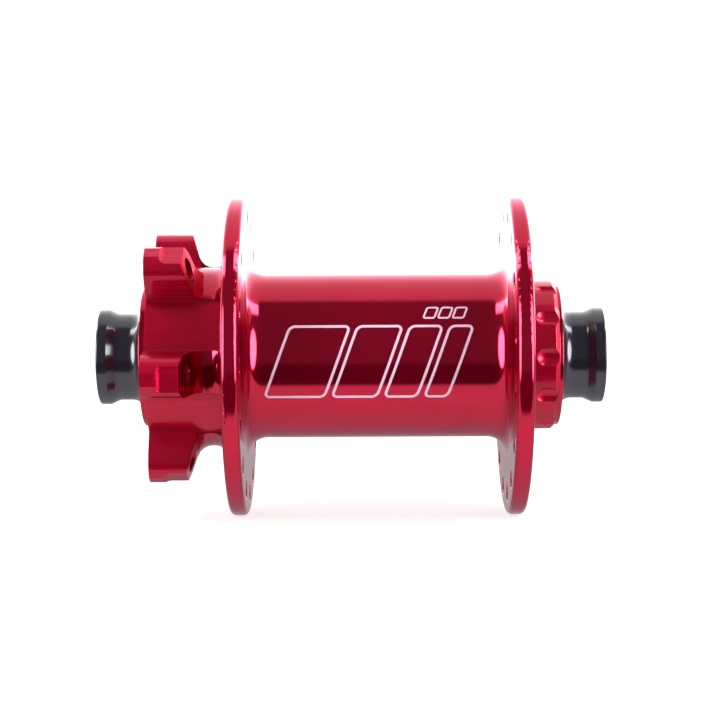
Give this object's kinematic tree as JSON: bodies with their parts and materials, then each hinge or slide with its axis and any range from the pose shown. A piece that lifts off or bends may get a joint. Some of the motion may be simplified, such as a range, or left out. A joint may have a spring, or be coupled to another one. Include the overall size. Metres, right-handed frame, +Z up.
{
  "type": "bicycle front hub",
  "caption": "Disc brake front bicycle hub: drilled spoke flanges on a barrel shell, lobed rotor mount, cartridge bearings on a hollow axle and pull-off end caps for a through axle.",
  "frame": {"origin": "on the axle, halfway between the two faces that the fork clamps", "axes": "+X along the axle, towards the plain side (the disc is at -X); +Z up; -Y is the side seen from in front"},
  "size_m": [0.1, 0.0636, 0.0636],
  "materials": {
    "shell_anodised": "polished, clear red anodised",
    "cap_anodised": "gloss black anodised",
    "axle_alloy": "turned",
    "bearing_steel": "ground",
    "ball_steel": "polished",
    "cage_nylon": "moulded",
    "bearing_rubber": "moulded",
    "seal_rubber": "moulded",
    "etched_metal": "laser etched"
  },
  "bodies": {
    "axle_body": {"axle": "axle_alloy", "left_inner_race": "bearing_steel", "right_inner_race": "bearing_steel"},
    "shell_body": {"hub_shell": "shell_anodised", "left_outer_race": "bearing_steel", "left_bearing_inner_seal": "bearing_rubber", "left_bearing_outer_seal": "bearing_rubber", "left_dust_seal": "seal_rubber", "right_outer_race": "bearing_steel", "right_bearing_inner_seal": "bearing_rubber", "right_bearing_outer_seal": "bearing_rubber", "right_dust_seal": "seal_rubber"},
    "left_ball_set": {"left_balls": "ball_steel", "left_cage": "cage_nylon"},
    "left_cap_body": {"left_end_cap": "cap_anodised", "left_o_ring": "seal_rubber"},
    "right_ball_set": {"right_balls": "ball_steel", "right_cage": "cage_nylon"},
    "right_cap_body": {"right_end_cap": "cap_anodised", "right_o_ring": "seal_rubber"}
  },
  "joints": [
    {"name": "hub_spin", "type": "hinge", "parent": "axle_body", "child": "shell_body", "pos_m": [0, 0, 0], "axis": [1, 0, 0], "continuous": true},
    {"name": "left_ball_orbit", "type": "hinge", "parent": "axle_body", "child": "left_ball_set", "pos_m": [-0.0361, 0, 0], "axis": [1, 0, 0], "continuous": true},
    {"name": "left_cap_pull", "type": "slide", "parent": "axle_body", "child": "left_cap_body", "axis": [-1, 0, 0], "range_m": [0, 0.012]},
    {"name": "right_ball_orbit", "type": "hinge", "parent": "axle_body", "child": "right_ball_set", "pos_m": [0.0361, 0, 0], "axis": [1, 0, 0], "continuous": true},
    {"name": "right_cap_pull", "type": "slide", "parent": "axle_body", "child": "right_cap_body", "axis": [1, 0, 0], "range_m": [0, 0.012]}
  ],
  "couplings": [
    {"joint": "left_ball_orbit", "follows": "hub_spin", "ratio": 0.5553},
    {"joint": "right_ball_orbit", "follows": "hub_spin", "ratio": 0.5553}
  ]
}
